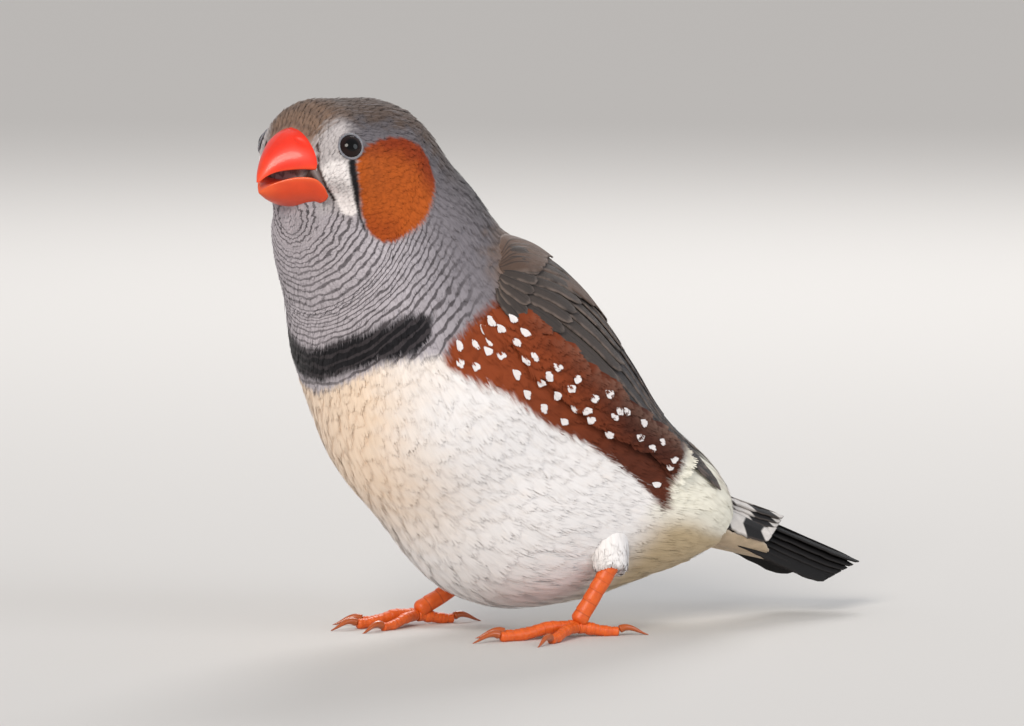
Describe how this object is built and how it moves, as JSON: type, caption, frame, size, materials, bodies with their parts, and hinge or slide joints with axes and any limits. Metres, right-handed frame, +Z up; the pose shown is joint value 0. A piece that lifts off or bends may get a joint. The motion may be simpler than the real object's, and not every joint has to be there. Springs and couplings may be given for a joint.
{
  "type": "zebra finch",
  "caption": "Life-size still model of a male zebra finch standing on both feet with its head turned a little to its left.",
  "frame": {"origin": "middle of the bird's box, at the level of its feet", "axes": "+Z up, -X the way the bird faces, +X towards the tail, -Y the bird's left side"},
  "size_m": [0.0914, 0.0332, 0.0698],
  "materials": {
    "grey_plumage": "soft grey feathers with fine dark bars, chestnut cheeks and a black breast band",
    "white_plumage": "soft white to cream feathers, chestnut flanks with white spots",
    "brown_plumage": "brown-grey wing feathers with paler edges",
    "black_plumage": "black tail feathers, upper coverts barred with white, cream coverts below",
    "red_bill": "waxy orange-red horn",
    "eye": "very dark brown, wet gloss",
    "orange_leg": "satin orange skin with scutes",
    "claw": "orange-brown horn, slightly clear at the tips"
  },
  "bodies": {
    "root": {"head": "grey_plumage", "neck": "grey_plumage", "torso": "white_plumage", "thigh_left": "white_plumage", "thigh_right": "white_plumage", "wing_left": "brown_plumage", "wing_right": "brown_plumage", "tail": "black_plumage", "bill_upper": "red_bill", "bill_lower": "red_bill", "eye_left": "eye", "eye_right": "eye", "shank_left": "orange_leg", "shank_right": "orange_leg", "foot_left": "orange_leg", "foot_right": "orange_leg", "claw_left_middle": "claw", "claw_left_outer": "claw", "claw_left_inner": "claw", "claw_left_hind": "claw", "claw_right_middle": "claw", "claw_right_outer": "claw", "claw_right_inner": "claw", "claw_right_hind": "claw"}
  },
  "joints": []
}
